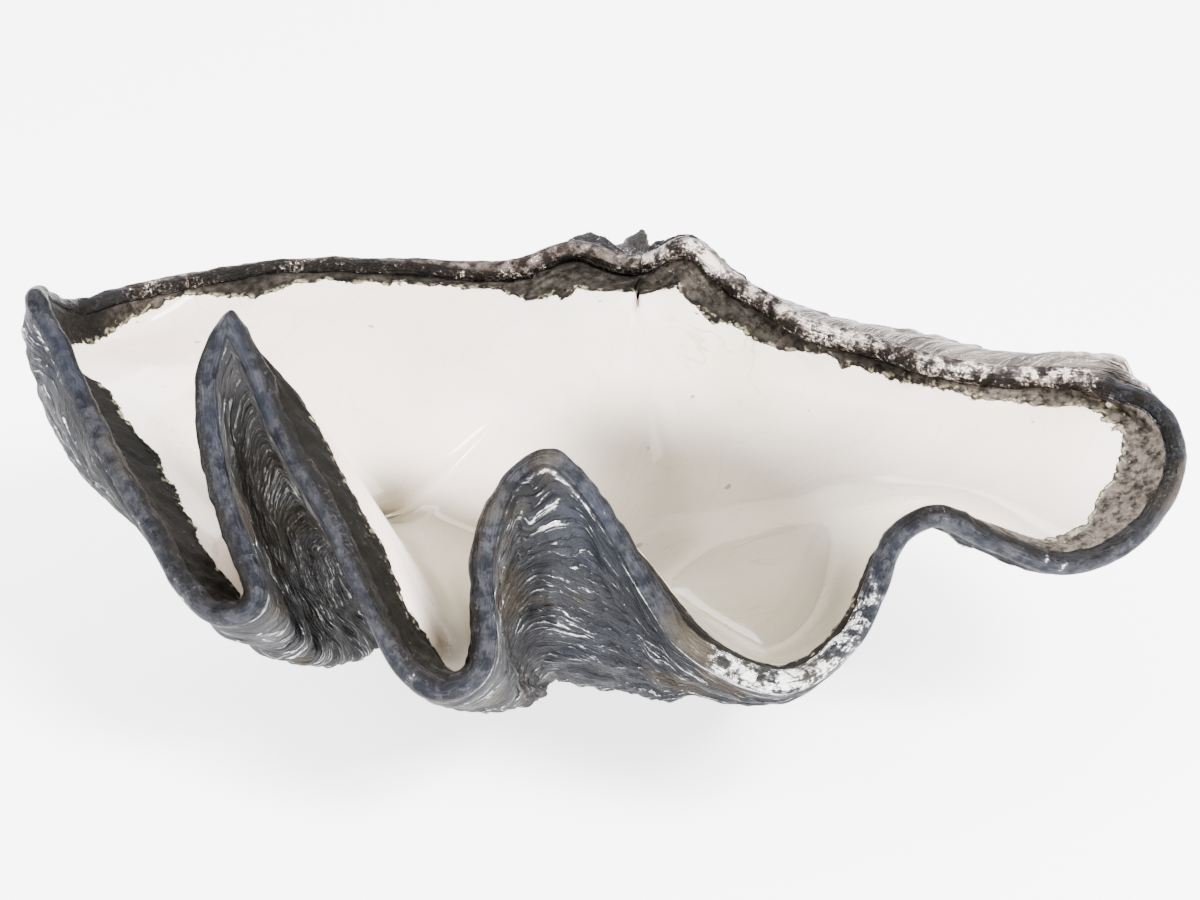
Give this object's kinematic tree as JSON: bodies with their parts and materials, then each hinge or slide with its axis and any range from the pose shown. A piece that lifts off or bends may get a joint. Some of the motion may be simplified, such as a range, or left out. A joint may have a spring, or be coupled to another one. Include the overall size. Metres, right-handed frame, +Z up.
{
  "type": "giant clam shell valve",
  "caption": "Single valve of a giant clam lying hollow side up: deep folded bowl with pointed lip teeth, ribbed outside with growth ledges, and a silver-plated outside and rim.",
  "frame": {"origin": "centre of the bounding box in plan, on the ground the valve rests on", "axes": "+X towards the long low end of the hinge line, +Y towards the hinge, -Y towards the folded front lip, +Z up out of the hollow"},
  "size_m": [0.6198, 0.4236, 0.2451],
  "materials": {
    "shell": "glossy white shell inside; outside and lip plated in silver with a dark patina, bonded to the shell"
  },
  "bodies": {
    "root": {"shell": "shell"}
  },
  "joints": []
}
